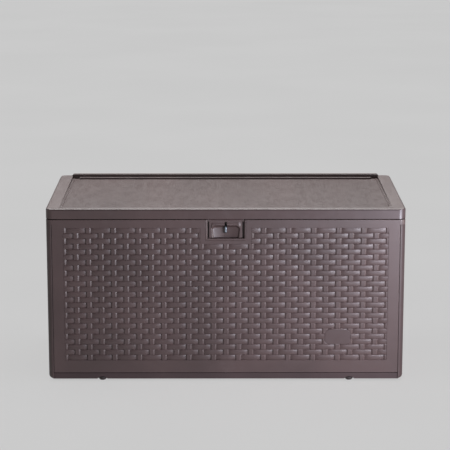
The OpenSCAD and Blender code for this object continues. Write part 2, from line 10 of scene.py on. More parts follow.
import bmesh
import bpy
import numpy as np
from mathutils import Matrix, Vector

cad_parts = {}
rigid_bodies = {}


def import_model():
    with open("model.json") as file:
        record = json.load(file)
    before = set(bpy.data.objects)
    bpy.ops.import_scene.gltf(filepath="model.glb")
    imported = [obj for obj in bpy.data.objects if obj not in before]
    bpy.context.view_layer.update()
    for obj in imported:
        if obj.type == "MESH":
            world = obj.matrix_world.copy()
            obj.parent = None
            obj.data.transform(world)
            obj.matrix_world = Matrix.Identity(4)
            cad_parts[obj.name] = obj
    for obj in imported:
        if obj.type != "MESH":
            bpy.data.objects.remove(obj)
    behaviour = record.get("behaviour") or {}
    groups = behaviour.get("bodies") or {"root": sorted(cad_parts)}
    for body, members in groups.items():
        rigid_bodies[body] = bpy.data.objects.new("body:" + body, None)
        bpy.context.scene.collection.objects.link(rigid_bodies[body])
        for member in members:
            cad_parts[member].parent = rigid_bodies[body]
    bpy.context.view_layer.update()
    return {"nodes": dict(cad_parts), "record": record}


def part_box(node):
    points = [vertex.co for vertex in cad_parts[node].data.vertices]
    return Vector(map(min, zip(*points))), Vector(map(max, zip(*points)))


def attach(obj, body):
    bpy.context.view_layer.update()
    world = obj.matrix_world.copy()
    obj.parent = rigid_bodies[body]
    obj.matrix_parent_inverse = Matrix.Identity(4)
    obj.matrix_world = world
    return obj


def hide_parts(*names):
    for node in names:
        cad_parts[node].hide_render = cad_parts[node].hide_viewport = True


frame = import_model()

MM = 0.001
scene = bpy.context.scene
BODY_OF = {node: body for body, nodes in frame["record"]["behaviour"]["bodies"].items()
           for node in nodes}
SLOT_OF = {part["node"]: part["material_slot"] for part in frame["record"]["subparts"]}
pieces = bpy.data.collections.new("pieces")
X, Y, Z = Vector((1, 0, 0)), Vector((0, 1, 0)), Vector((0, 0, 1))


# ---- Materials ----

class Nodes:
    """Short calls for building a node tree."""

    def __init__(self, name):
        self.material = bpy.data.materials.new(name)
        self.material.use_nodes = True
        self.tree = self.material.node_tree
        self.tree.nodes.clear()
        self.output = self.tree.nodes.new("ShaderNodeOutputMaterial")
        self.shader = self.tree.nodes.new("ShaderNodeBsdfPrincipled")
        self.link(self.shader.outputs["BSDF"], self.output.inputs["Surface"])
        self.place = self.tree.nodes.new("ShaderNodeTexCoord").outputs["Object"]

    def link(self, a, b):
        self.tree.links.new(a, b)

    def feed(self, socket, value):
        if isinstance(value, bpy.types.NodeSocket):
            self.link(value, socket)
        else:
            socket.default_value = value

    def noise(self, scale, detail=3.0, rough=0.55, stretch=(1, 1, 1)):
        mapping = self.tree.nodes.new("ShaderNodeMapping")
        mapping.inputs["Scale"].default_value = stretch
        self.link(self.place, mapping.inputs["Vector"])
        node = self.tree.nodes.new("ShaderNodeTexNoise")
        node.inputs["Scale"].default_value = scale
        node.inputs["Detail"].default_value = detail
        node.inputs["Roughness"].default_value = rough
        self.link(mapping.outputs["Vector"], node.inputs["Vector"])
        return node.outputs["Fac"]

    def ramp(self, value, low, high, out_low=0.0, out_high=1.0):
        node = self.tree.nodes.new("ShaderNodeMapRange")
        node.interpolation_type = "SMOOTHSTEP"
        for name, v in (("Value", value), ("From Min", low), ("From Max", high),
                        ("To Min", out_low), ("To Max", out_high)):
            self.feed(node.inputs[name], v)
        return node.outputs["Result"]

    def mix(self, factor, a, b, blend="MIX"):
        node = self.tree.nodes.new("ShaderNodeMix")
        node.data_type = "RGBA"
        node.blend_type = blend
        self.feed(node.inputs["Factor"], factor)
        self.feed(node.inputs["A"], a)
        self.feed(node.inputs["B"], b)
        return node.outputs["Result"]

    def math(self, operation, a, b=0.0):
        node = self.tree.nodes.new("ShaderNodeMath")
        node.operation = operation
        self.feed(node.inputs[0], a)
        self.feed(node.inputs[1], b)
        return node.outputs["Value"]

    def bump(self, height, distance, strength=1.0, under=None):
        node = self.tree.nodes.new("ShaderNodeBump")
        node.inputs["Distance"].default_value = distance
        node.inputs["Strength"].default_value = strength
        self.link(height, node.inputs["Height"])
        if under is not None:
            self.link(under, node.inputs["Normal"])
        return node.outputs["Normal"]

    def finish(self, colour, roughness, normal=None, metallic=0.0, specular=0.5):
        self.feed(self.shader.inputs["Base Color"], colour)
        self.feed(self.shader.inputs["Roughness"], roughness)
        self.shader.inputs["Metallic"].default_value = metallic
        self.shader.inputs["Specular IOR Level"].default_value = specular
        if normal is not None:
            self.link(normal, self.shader.inputs["Normal"])
        return self.material


def linear(r, g, b):
    """An sRGB colour from 0 to 255 as linear RGBA."""
    parts = [c / 255 for c in (r, g, b)]
    return tuple(c / 12.92 if c <= 0.04045 else ((c + 0.055) / 1.055) ** 2.4
                 for c in parts) + (1.0,)


def resin(name, tone, rough, grain=0.00006, dust=0.25, specular=0.5, stretch=(1, 1, 1),
          dust_and_sheen_bands=None):
    """Moulded resin: fine spark grain, slow cloudy variation, faint dust and paler bands.
    The last argument is a distance from the middle and a height. What lies beyond both is painted
    paler, as on the lid's bands: partly the dust they catch, partly a painted sheen of their smooth
    faces."""
    n = Nodes(name)
    base = linear(*tone)
    dark = tuple(c * 0.86 for c in base[:3]) + (1.0,)
    light = tuple(c * 1.16 for c in base[:3]) + (1.0,)
    pale = linear(*(c + 0.28 * (200 - c) for c in tone))
    clouds = n.noise(3.2, 4.0, 0.6, stretch)
    colour = n.mix(n.ramp(clouds, 0.32, 0.68), dark, light)
    speckle = n.noise(420.0, 2.0, 0.7)
    colour = n.mix(n.ramp(speckle, 0.62, 0.78, 0.0, 0.20), colour, pale)
    dusting = n.noise(11.0, 6.0, 0.68, stretch)
    colour = n.mix(n.ramp(dusting, 0.56, 0.78, 0.0, dust * 0.5), colour, pale)
    # Painted paler on the lid's bands: partly dust, partly a painted sheen of their smooth faces.
    if dust_and_sheen_bands:
        away, height = dust_and_sheen_bands
        axes = n.tree.nodes.new("ShaderNodeSeparateXYZ")
        n.link(n.place, axes.inputs[0])
        outside = n.ramp(n.math("ABSOLUTE", axes.outputs["X"]), away, away + 2 * MM, 0.0, 0.46)
        above = n.ramp(axes.outputs["Z"], height, height + 4 * MM)
        colour = n.mix(n.math("MULTIPLY", outside, above), colour, pale)
    roughness = n.ramp(n.noise(50.0, 5.0, 0.62, stretch), 0.3, 0.7, rough - 0.04, rough + 0.05)
    fine = n.bump(n.noise(1400.0, 2.0, 0.6), grain, 0.8)
    normal = n.bump(n.noise(150.0, 3.0, 0.5), grain * 2.2, 0.5, under=fine)
    return n.finish(colour, roughness, normal, specular=specular)


def metal(name, tone, rough, brushed=(1, 1, 1)):
    """Zinc or steel with a brushed or tumbled finish and dull patches."""
    n = Nodes(name)
    base = linear(*tone)
    dull = tuple(c * 0.62 for c in base[:3]) + (1.0,)
    colour = n.mix(n.ramp(n.noise(60.0, 5.0, 0.65), 0.42, 0.72), base, dull)
    roughness = n.ramp(n.noise(90.0, 4.0, 0.6, brushed), 0.3, 0.7, rough - 0.08, rough + 0.14)
    normal = n.bump(n.noise(900.0, 3.0, 0.6, brushed), 0.00004, 0.7)
    return n.finish(colour, roughness, normal, metallic=1.0)


def rubber(name):
    n = Nodes(name)
    clean, dusty = linear(30, 29, 29), linear(66, 62, 60)
    colour = n.mix(n.ramp(n.noise(45.0, 5.0, 0.7), 0.4, 0.75), clean, dusty)
    roughness = n.ramp(n.noise(80.0, 3.0), 0.3, 0.7, 0.68, 0.86)
    return n.finish(colour, roughness, n.bump(n.noise(1100.0, 3.0), 0.0001, 0.8), specular=0.3)


TONE = (63, 48, 47)
MATERIALS = {
    "body_resin": resin("mocha_resin_body", TONE, 0.45),
    # The lid's bands are painted paler: partly dust, partly a painted sheen of their smooth faces.
    "lid_resin": resin("mocha_resin_lid", TONE, 0.45, grain=0.00002, stretch=(1, 0.22, 1),
                       dust_and_sheen_bands=(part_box("lid_shell")[1].x - 47 * MM,
                               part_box("lid_shell")[1].z - 22 * MM)),
    "inner_resin": resin("mocha_resin_inner", (60, 48, 47), 0.55, dust=0.1),
    "latch_resin": resin("mocha_resin_latch", TONE, 0.42, dust=0.12),
    "hinge_resin": resin("mocha_resin_hinge", (58, 46, 45), 0.48),
    "foot_resin": resin("mocha_elastomer_foot", (44, 36, 35), 0.66, specular=0.3),
    "staple_steel": metal("staple_steel", (150, 158, 168), 0.34, (1, 1, 14)),
    "pin_steel": metal("pin_steel", (150, 152, 156), 0.34, (14, 1, 1)),
    "screw_zinc": metal("screw_zinc", (172, 172, 170), 0.36),
    "black_rubber": rubber("black_rubber"),
}
# The base's resin is a darker copy of the body's: its darker tone is painted shade, for the skirt
# set back in shade under the panels' lower edge.
PAINTED_SHADE_BASE_RESIN = resin("mocha_resin_base_painted_shade", (56, 42, 42), 0.6, specular=0.36)


# ---- Meshes ----

def node_mesh(node):
    """A working copy of a CAD node's mesh, with split corners joined and flat faces whole."""
    bm = bmesh.new()
    bm.from_mesh(frame["nodes"][node].data)
    bmesh.ops.remove_doubles(bm, verts=bm.verts, dist=1e-6)
    bmesh.ops.dissolve_limit(bm, angle_limit=math.radians(1), verts=bm.verts, edges=bm.edges)
    return bm


def round_edges(bm, width, segments=2, angle=50, keep=None):
    """Rounds the outer edges that are sharper than an angle."""
    limit = math.radians(angle)
    edges = [e for e in bm.edges
             if e.is_manifold and e.is_convex and e.calc_face_angle() > limit
             and (keep is None or keep(e))]
    bmesh.ops.bevel(bm, geom=edges, offset=width, offset_type="OFFSET", segments=segments,
                    profile=0.5, affect="EDGES", clamp_overlap=False)


def slice_at(bm, point, normal):
    """Adds edges to a mesh where a plane crosses it."""
    bmesh.ops.bisect_plane(bm, geom=list(bm.verts) + list(bm.edges) + list(bm.faces), dist=1e-6,
                           plane_co=point, plane_no=normal)


def piece(name, bm, nodes, smooth=32, material=None):
    """Turns a working mesh into a finished piece that stands for some CAD nodes."""
    bmesh.ops.recalc_face_normals(bm, faces=bm.faces)
    for face in bm.faces:
        face.smooth = True
    for edge in bm.edges:
        edge.smooth = edge.is_manifold and edge.calc_face_angle(0) < math.radians(smooth)
    bmesh.ops.triangulate(bm, faces=[f for f in bm.faces if len(f.verts) > 4])
    mesh = bpy.data.meshes.new(name)
    bm.to_mesh(mesh)
    bm.free()
    obj = bpy.data.objects.new(name, mesh)
    scene.collection.objects.link(obj)
    pieces.objects.link(obj)
    weighted = obj.modifiers.new("flat_faces_stay_flat", "WEIGHTED_NORMAL")
    weighted.keep_sharp = True
    first = nodes[0]
    obj.data.materials.append(material or MATERIALS[SLOT_OF[first]])
    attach(obj, BODY_OF[first])
    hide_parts(*nodes)
    return obj


# ---- Woven relief ----

STRIP_BASE = 0.238  # half widths of an upright strip's base and of its flat top, in pitches
STRIP_FLAT = 0.13
DEPTH = 3.4 * MM
RIM_GAP = 0.3 * MM  # between the relief and the border of its field

# Grid lines in one pitch and in one row, as shares of them, closest where the relief is steep
COLUMN_LINES = (0, 0.13, 0.184, 0.238, 0.28, 0.36, 0.43,
                0.5, 0.57, 0.64, 0.72, 0.762, 0.816, 0.87)
ROW_LINES = (0, 0.055, 0.13, 0.28, 0.5, 0.72, 0.87, 0.945)


def ease(t):
    t = np.clip(t, 0, 1)
    return t * t * (3 - 2 * t)


def weave_height(u, v, pitch, row, depth):
    """How far the weave lies below its peaks, as minus values, where u runs across and v down.
    An upright strip stands at every pitch. Wide strands cross the strips in rows and dive under
    every second one."""
    strip = np.round(u / pitch)
    line = np.floor(v / row)
    du = np.abs(u - strip * pitch)
    across = np.abs(2 * (v / row - line) - 1)
    shown = (strip + line) % 2 == 0
    base, flat = STRIP_BASE * pitch, STRIP_FLAT * pitch
    along = np.where(shown, pitch - du, du)
    strand = -depth * np.clip(along / (pitch - base), 0, 1) ** 3.2
    strand = strand - 0.38 * depth * across ** 2.6 - 0.22 * depth * ease((across - 0.84) / 0.16)
    side = np.clip((du - flat) / (base - flat), 0, 1)
    strip_top = -depth * (0.20 + 0.12 * across ** 4 + 0.80 * side)
    return np.where(shown & (du < base), np.maximum(strip_top, strand), strand)


def lines_of(count, step, shares, extra):
    """Grid lines for some steps; a share's line gives way to an extra line close to it."""
    fixed = sorted({round(e, 7) for e in extra} | {0.0, round(count * step, 7)})
    near = np.array(fixed)
    lines = [(i + s) * step for i in range(count) for s in shares]
    return np.array(sorted(fixed + [x for x in lines if np.abs(near - x).min() > 0.5 * MM]))


def rounded_distance(u, v, half_u, half_v, radius):
    """Distance from a rounded rectangle round the origin; it is negative inside."""
    qu, qv = np.abs(u) - half_u + radius, np.abs(v) - half_v + radius
    outer = np.hypot(np.maximum(qu, 0), np.maximum(qv, 0))
    return outer + np.minimum(np.maximum(qu, qv), 0) - radius


def lay_weave(bm, origin, across, down, columns, rows, pitch, row, floor, plain=(), plate=None):
    """Replaces the flat floor of a field with a woven relief.
    origin is the field's top corner in the plane of the peaks. across and down are unit vectors
    in that plane, and u and v are measured along them. floor is how far the old floor lies below
    the peaks. plain lists boxes (u0, u1, v0, v1) that stay open, for fill_between to close.
    plate is a rounded area (u, v, half_u, half_v, radius) where the relief rises no higher than
    the old floor."""
    out = down.cross(across)
    width, height = columns * pitch, rows * row
    reach = 1.5 * MM

    def place(p):
        d = Vector(p) - origin
        return d.dot(across), d.dot(down), d.dot(out)

    def is_floor(face):
        u, v, h = place(face.calc_center_median())
        return (face.normal.dot(out) > 0.99 and abs(h + floor) < 0.2 * MM
                and -reach < u < width + reach and -reach < v < height + reach)

    bmesh.ops.delete(bm, geom=[f for f in bm.faces if is_floor(f)], context="FACES_ONLY")
    bmesh.ops.delete(bm, geom=[e for e in bm.edges if not e.link_faces], context="EDGES")
    outline = [e for e in bm.edges if e.is_boundary]

    extra_u = [3 * RIM_GAP, width - 3 * RIM_GAP]
    extra_v = [3 * RIM_GAP, height - 3 * RIM_GAP]
    for u0, u1, v0, v1 in plain:
        extra_u += [u0 - 3 * RIM_GAP, u0, u1, u1 + 3 * RIM_GAP]
        extra_v += [v0, v1, v1 + 3 * RIM_GAP]
    if plate:
        pu, pv, half_u, half_v, radius = plate
        steps = [0.3, 1.1, -radius * 0.12, -radius * 0.3, -radius * 0.55, -radius * 0.8]
        extra_u += [pu + s * (half_u + t * (1 if t < 0 else MM)) for s in (-1, 1) for t in steps]
        extra_v += [pv + s * (half_v + t * (1 if t < 0 else MM)) for s in (-1, 1) for t in steps]
    us = lines_of(columns, pitch, COLUMN_LINES, [e for e in extra_u if 0 < e < width])
    vs = lines_of(rows, row, ROW_LINES, [e for e in extra_v if 0 < e < height])
    uc, vc = np.meshgrid((us[:-1] + us[1:]) / 2, (vs[:-1] + vs[1:]) / 2, indexing="ij")
    wanted = np.ones(uc.shape, bool)
    for u0, u1, v0, v1 in plain:
        wanted &= ~((uc > u0) & (uc < u1) & (vc > v0) & (vc < v1))
    used = np.zeros((len(us), len(vs)), int)
    for i, j in ((0, 0), (1, 0), (0, 1), (1, 1)):
        used[i:i + wanted.shape[0], j:j + wanted.shape[1]] += wanted
    uu, vv = np.meshgrid(us, vs, indexing="ij")
    hh = weave_height(uu, vv, pitch, row, DEPTH)
    if plate:
        inside = rounded_distance(uu - pu, vv - pv, half_u, half_v, radius) < 0.5 * MM
        hh[inside] = np.minimum(hh[inside], -floor)
    hh[used < 4] = -floor
    uu[0], uu[-1] = RIM_GAP, width - RIM_GAP
    vv[:, 0], vv[:, -1] = RIM_GAP, height - RIM_GAP

    verts = {}
    for i, j in zip(*np.nonzero(used)):
        verts[i, j] = bm.verts.new(
            origin + across * uu[i, j] + down * vv[i, j] + out * hh[i, j])
    for i, j in zip(*np.nonzero(wanted)):
        bm.faces.new((verts[i, j], verts[i, j + 1], verts[i + 1, j + 1], verts[i + 1, j]))
    bm.edges.ensure_lookup_table()
    known = set(outline)
    rim = [e for e in bm.edges if e.is_boundary and e not in known]
    return outline, rim, place


def fill_between(bm, edges, normal):
    """Closes the flat strip between the relief and the rest of the panel."""
    bmesh.ops.triangle_fill(bm, use_beauty=False, use_dissolve=False, edges=edges, normal=normal)


# ---- Panels ----

RELIEF = 1.5 * MM  # how deep the CAD's plain field lies
FIELD_HALF = 546 * MM
MARGIN_LOW, MARGIN_HIGH = 43.5 * MM, 28 * MM
COLUMNS, SIDE_COLUMNS = 26, 12
ROWS, BACK_ROWS = 25, 23
PITCH = 2 * FIELD_HALF / COLUMNS
BADGE_RADIUS = 16 * MM
EDGE = 1.3 * MM
FINE_EDGE = 0.5 * MM
WOVEN_SMOOTH = 27
panel_lo, panel_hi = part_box("front_panel")
field_bottom = panel_lo.z + MARGIN_LOW
field_top = panel_hi.z - MARGIN_HIGH
row_height = (field_top - field_bottom) / ROWS


def middle(edge):
    return (edge.verts[0].co + edge.verts[1].co) / 2


def round_panel(bm, out, level, in_field):
    """Rounds a panel: widely along its outer outline, finely elsewhere and round its field."""
    def outer(edge):
        m = middle(edge)
        return m.dot(out) > level - 0.05 * MM and not in_field(m)

    round_edges(bm, EDGE, 3, keep=outer)
    round_edges(bm, FINE_EDGE, 2, keep=lambda e: not outer(e))


def tuck_under(bm, radius=12 * MM):
    """Rounds the box's lower side edges: what lies there curves inwards towards the bottom."""
    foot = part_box("left_side_panel")[0].z
    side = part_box("right_side_panel")[1].x
    reach, fade = 18 * MM, 12 * MM
    for share in (0.02, 0.08, 0.18, 0.34, 0.6, 1.0):
        slice_at(bm, (0, 0, foot + share * radius), Z)
    for v in bm.verts:
        rise = max(v.co.z - foot, 0)
        if rise < radius and abs(v.co.x) > side - reach:
            inwards = radius - math.sqrt(radius ** 2 - (radius - rise) ** 2)
            share = float(ease((abs(v.co.x) - side + reach) / fade))
            v.co.x -= math.copysign(inwards * share, v.co.x)


def front_panel():
    bm = node_mesh("front_panel")
    plain_half, plain_top = 86 * MM, panel_hi.z - 83 * MM
    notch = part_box("latch_housing")[1].x

    def in_field(m):
        return (abs(m.x) < FIELD_HALF + MM and field_bottom - MM < m.z < field_top + MM
                and not (abs(m.x) < notch + MM and m.z > plain_top + MM))

    round_panel(bm, -Y, -panel_lo.y, in_field)
    badge_lo, badge_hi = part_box("blank_badge")
    badge = (badge_lo + badge_hi) / 2
    badge_half = (badge_hi - badge_lo) / 2
    bu, bv = badge.x + FIELD_HALF, field_top - badge.z
    window = (bu - 5 * MM, bu + 5 * MM, bv - 5 * MM, bv + 5 * MM)
    outline, rim, place = lay_weave(
        bm, Vector((-FIELD_HALF, panel_lo.y, field_top)), X, -Z, COLUMNS, ROWS, PITCH, row_height,
        RELIEF,
        plain=[(FIELD_HALF - plain_half - RIM_GAP, FIELD_HALF + plain_half + RIM_GAP, -1,
                field_top - plain_top + RIM_GAP), window],
        plate=(bu, bv, badge_half.x, badge_half.z, BADGE_RADIUS))

    def by_badge(edge):
        u, v, _ = place(middle(edge))
        return abs(u - bu) < 6 * MM and abs(v - bv) < 6 * MM

    edges = outline + rim
    fill_between(bm, [e for e in edges if not by_badge(e)], -Y)
    fill_between(bm, [e for e in edges if by_badge(e)], -Y)
    return piece("front_panel_woven", bm, ["front_panel"], smooth=WOVEN_SMOOTH)


def back_panel():
    bm = node_mesh("back_panel")
    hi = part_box("back_panel")[1]
    top = hi.z - 70 * MM

    def in_field(m):
        return abs(m.x) < FIELD_HALF + MM and field_bottom - MM < m.z < top + MM

    round_panel(bm, Y, hi.y, in_field)
    outline, rim, _ = lay_weave(
        bm, Vector((FIELD_HALF, hi.y, top)), -X, -Z, COLUMNS, BACK_ROWS, PITCH,
        (top - field_bottom) / BACK_ROWS, RELIEF)
    fill_between(bm, outline + rim, Y)
    return piece("back_panel_woven", bm, ["back_panel"], smooth=WOVEN_SMOOTH)


def side_panel(side):
    """side is 1 for the right panel and -1 for the left one."""
    node = "right_side_panel" if side > 0 else "left_side_panel"
    bm = node_mesh(node)
    lo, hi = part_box(node)
    centre_y = (lo.y + hi.y) / 2
    half = (hi.y - lo.y) / 2 - 40 * MM
    level = max(abs(lo.x), abs(hi.x))
    plain_half, plain_top = 95 * MM, hi.z - 137 * MM

    def in_field(m):
        return (abs(m.y - centre_y) < half + MM and field_bottom - MM < m.z < field_top + MM
                and not (abs(m.y - centre_y) < 75 * MM and m.z > plain_top + 20 * MM))

    def at_seam(edge):
        m = middle(edge)
        return min(abs(m.y - lo.y), abs(m.y - hi.y)) < 0.1 * MM

    round_edges(bm, 1.8 * MM, 3, keep=at_seam)
    round_panel(bm, X * side, level, in_field)
    outline, rim, _ = lay_weave(
        bm, Vector((side * level, centre_y - side * half, field_top)), Y * side, -Z, SIDE_COLUMNS,
        ROWS, 2 * half / SIDE_COLUMNS, row_height, RELIEF,
        plain=[(half - plain_half - RIM_GAP, half + plain_half + RIM_GAP, -1,
                field_top - plain_top + RIM_GAP)])
    fill_between(bm, outline + rim, X * side)
    tuck_under(bm)
    return piece(node + "_woven", bm, [node], smooth=WOVEN_SMOOTH)


def base_tray():
    bm = node_mesh("base_tray")
    round_edges(bm, 0.8 * MM)
    tuck_under(bm)
    # The base takes the darker resin, whose tone is painted shade.
    return piece("base_tray_finished", bm, ["base_tray"], material=PAINTED_SHADE_BASE_RESIN)


# ---- Lid ----

def bead_stations(y0, y1):
    """Places along a bead and how high it stands there; both ends are rounded off."""
    ends = [(0, 0.05), (1, 0.55), (2.5, 0.85), (5, 1)]
    return [(y0 + d * MM, h) for d, h in ends] + [(y1 - d * MM, h) for d, h in reversed(ends)]


def join(bm, other):
    """Adds another working mesh to this one."""
    mesh = bpy.data.meshes.new("scratch")
    other.to_mesh(mesh)
    other.free()
    bm.from_mesh(mesh)
    bpy.data.meshes.remove(mesh)


def shadow_line(bm, front, depth=1.8 * MM):
    """A narrow groove along the front, between the skirt and the sloping lip above it."""
    top = max(v.co.z for v in bm.verts if v.co.y < front + 0.05 * MM)
    for drop in (0.1, 0.5, 1.9, 2.6):
        slice_at(bm, (0, 0, top - drop * MM), Z)
    for v in bm.verts:
        drop = top - v.co.z
        if v.co.y < front + 0.4 * MM and 0.3 * MM < drop < 2.2 * MM:
            v.co.y += depth


def lid_shell():
    """The lid, with a groove above its skirt and a bead beside each raised side band."""
    bm = node_mesh("lid_shell")
    lo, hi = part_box("lid_shell")

    def faces_up(edge):
        return any(f.normal.z > 0.3 for f in edge.link_faces)

    deck = max((f for f in bm.faces if f.normal.z > 0.9), key=lambda f: f.calc_area())
    deck_normal, deck_point = deck.normal.copy(), deck.calc_center_median()
    deck_y = [v.co.y for v in deck.verts]
    deck_x = max(v.co.x for v in deck.verts)

    def on_deck(x, y, above):
        z = deck_point.z - (y - deck_point.y) * deck_normal.y / deck_normal.z
        return Vector((x, y, z + above))

    def below_lip(edge):
        return lo.z + 2 * MM < middle(edge).z < hi.z - 25 * MM and not faces_up(edge)

    round_edges(bm, 1.2 * MM, 3, angle=35, keep=faces_up)
    shadow_line(bm, lo.y)
    inset, radius, height, sunk = 6.5 * MM, 3 * MM, 2 * MM, 2 * MM
    for side in (-1, 1):
        bead_x = side * (deck_x - inset)
        sections = []
        for y, swell in bead_stations(min(deck_y) + 1 * MM, max(deck_y) - 1 * MM):
            arc = [on_deck(bead_x + radius * math.cos(a), y, height * swell * math.sin(a))
                   for a in np.linspace(0, math.pi, 9)]
            foot = [on_deck(bead_x - radius, y, -sunk), on_deck(bead_x + radius, y, -sunk)]
            sections.append(arc + foot)
        join(bm, lofted(sections))
    round_edges(bm, 0.8 * MM, 2, keep=lambda e: middle(e).z < lo.z + 0.05 * MM)
    round_edges(bm, 0.4 * MM, 2, keep=below_lip)
    return piece("lid_shell_finished", bm, ["lid_shell"], smooth=40)


# ---- Latch ----

def lofted(sections):
    """A closed skin through loops of points that all have the same count."""
    bm = bmesh.new()
    loops = [[bm.verts.new(p) for p in loop] for loop in sections]
    count = len(loops[0])
    for a, b in zip(loops, loops[1:]):
        for i in range(count):
            k = (i + 1) % count
            bm.faces.new((a[i], a[k], b[k], b[i]))
    bm.faces.new(loops[0])
    bm.faces.new(reversed(loops[-1]))
    bmesh.ops.recalc_face_normals(bm, faces=bm.faces)
    return bm


def prism(points, direction):
    """A flat outline drawn out along a direction."""
    return lofted([[Vector(p) for p in points], [Vector(p) + direction for p in points]])


def cut(bm, *cutters):
    """Takes the cutters' volumes out of a mesh."""
    def as_object(part):
        mesh = bpy.data.meshes.new("scratch")
        part.to_mesh(mesh)
        part.free()
        obj = bpy.data.objects.new("scratch", mesh)
        scene.collection.objects.link(obj)
        return obj

    target = as_object(bm)
    tools = [as_object(c) for c in cutters]
    for tool in tools:
        modifier = target.modifiers.new("cut", "BOOLEAN")
        modifier.operation = "DIFFERENCE"
        modifier.solver = "EXACT"
        modifier.object = tool
    result = bmesh.new()
    result.from_mesh(target.evaluated_get(bpy.context.evaluated_depsgraph_get()).data)
    for obj in [target] + tools:
        mesh = obj.data
        bpy.data.objects.remove(obj)
        bpy.data.meshes.remove(mesh)
    return result


def latch_flap():
    """The flap: a hood that stands proud, with a finger scoop and a slot for the staple below it.
    Each section runs up the front, round the barrel and down the back."""
    lo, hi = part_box("latch_flap")
    pin_lo, pin_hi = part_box("latch_pin")
    axis = (pin_lo + pin_hi) / 2
    front, bottom = lo.y, lo.z
    barrel = axis.y - front
    wall, back = 3 * MM, front + 12.5 * MM
    rail = hi.x - 9 * MM
    hood_drop = 15.5 * MM
    scoop_top = axis.z - hood_drop - bottom
    lower = (0, 0.012, 0.2, 0.4, 0.6, 0.76, 0.82, 0.88, 0.94, 1.0)
    upper = (0, 0.06, 0.15, 0.27, 0.4, 0.52, 0.64, 0.76, 0.88, 1.0)

    def smooth(t):
        return float(ease(t))

    def crown(x):
        return bottom + scoop_top - 8 * MM * smooth((abs(x) - 36 * MM) / (12 * MM))

    def scoop(x, z):
        half = (44 + 6 * (z - bottom) / scoop_top) * MM
        inside = max(half - abs(x), 0)
        sunk = 4 * MM * smooth(inside / (4.5 * MM)) + 7 * MM * max(0, 1 - (x / half) ** 2)
        return front + sunk * smooth((crown(x) - z) / (8 * MM) + 0.04)

    def hood(x, z):
        drop = axis.z - z
        facet = (2 + 11 * (1 - min(drop / hood_drop, 1))) * MM
        rise = smooth((49 * MM - abs(x)) / facet)
        return front - 2.3 * MM * rise * smooth((drop - 6 * MM) / (4 * MM))

    def section(x):
        top = crown(x)
        in_scoop = smooth((49.5 * MM - abs(x)) / (2 * MM))
        points = []
        for t in lower:
            z = bottom + t * (top - bottom - 0.6 * MM)
            points.append((scoop(x, z) + (0.5 * MM if t == 0 else 0), z))
        points.append((hood(x, top) + 0.7 * MM * in_scoop, top - 0.1 * MM))
        for t in upper:
            z = top + 0.6 * MM + t * (axis.z - top - 0.6 * MM)
            points.append((hood(x, z), z))
        thick = abs(x) > rail
        last = 0 if thick else -50
        for k in range(1, 13):
            a = math.radians(180 + (last - 180) * k / 12)
            points.append((axis.y + barrel * math.cos(a), axis.z + barrel * math.sin(a)))
        shelf = top + 2.5 * MM
        plate = back if thick else front + wall
        points.append((plate, axis.z - (1 if thick else 5.2) * MM))
        points.append((plate, shelf + 0.3 * MM))
        for t in reversed(lower):
            z = bottom + t * (shelf - bottom)
            behind = scoop(x, min(z, top - 0.6 * MM)) + 2 * MM
            points.append((back if thick else behind, z))
        return [Vector((x, y, z)) for y, z in points]

    # Stations from the side to the middle, in mm for a flap whose half width is the first of them
    stations = (55.5, 55.0, 53, 51, 50, 49, 48, 47.2, 46.7, 46.3, 45, 43.5, 42,
                40, 37.5, 34, 30, 25, 20, 15, 10, 5)
    steps = [s * MM * hi.x / (stations[0] * MM) for s in stations]
    bm = lofted([section(x) for x in [-s for s in steps] + [0] + steps[::-1]])
    slot, arch = 4.2 * MM, axis.z - 2.8 * MM
    ahead, below, pin_radius = front - 4 * MM, bottom - 2 * MM, 2.05 * MM
    outline = [(-slot, ahead, below), (slot, ahead, below)]
    for k in range(13):
        a = math.pi * k / 12
        outline.append((slot * math.cos(a), ahead, arch - slot + slot * math.sin(a)))
    bore = [(-0.1, axis.y + pin_radius * math.cos(a), axis.z + pin_radius * math.sin(a))
            for a in np.linspace(0, 2 * math.pi, 33)[:-1]]
    bm = cut(bm, prism(outline, Y * 22 * MM), prism(bore, X * 0.2))
    return piece("latch_flap_scooped", bm, ["latch_flap"], smooth=38)


def latch_housing():
    """The pocket's frame; its side walls slope outwards at the front."""
    bm = node_mesh("latch_housing")
    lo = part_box("latch_housing")[0]
    front = lo.y + 0.05 * MM
    slope = 3.6 * MM

    def at_front(edge):
        return middle(edge).y < front

    inner = min(abs(v.co.x) for v in bm.verts if v.co.y < front)
    slice_at(bm, (0, lo.y + slope, 0), Y)
    for v in bm.verts:
        if v.co.y < front and abs(v.co.x) < inner + 0.1 * MM:
            v.co.x += math.copysign(slope, v.co.x)

    round_edges(bm, 0.9 * MM, 2, angle=35, keep=at_front)
    round_edges(bm, 0.5 * MM, 2, keep=lambda e: not at_front(e))
    return piece("latch_housing_rimmed", bm, ["latch_housing"])


# ---- Small parts ----

def cross_recess(bm, face, size=2.4 * MM, arm=0.5 * MM, depth=1.1 * MM):
    """Sinks a cross into a round flat face."""
    centre, normal = face.calc_center_median(), face.normal.copy()
    u = normal.orthogonal().normalized()
    v = normal.cross(u)
    ring = list(face.edges)
    corners = []
    for k in range(4):
        a, b = (u, v, -u, -v)[k], (v, -u, -v, u)[k]
        corners += [a * size - b * arm, a * size + b * arm, (a + b) * arm]
    rim = [bm.verts.new(centre + c) for c in corners]
    low = [bm.verts.new(centre + c * 0.8 - normal * depth) for c in corners]
    bmesh.ops.delete(bm, geom=[face], context="FACES_ONLY")
    edges = [bm.edges.new((rim[k - 1], rim[k])) for k in range(12)]
    for k in range(12):
        bm.faces.new((rim[k - 1], rim[k], low[k], low[k - 1]))
    bm.faces.new(low)
    bmesh.ops.triangle_fill(bm, use_beauty=True, use_dissolve=False, edges=ring + edges,
                            normal=normal)


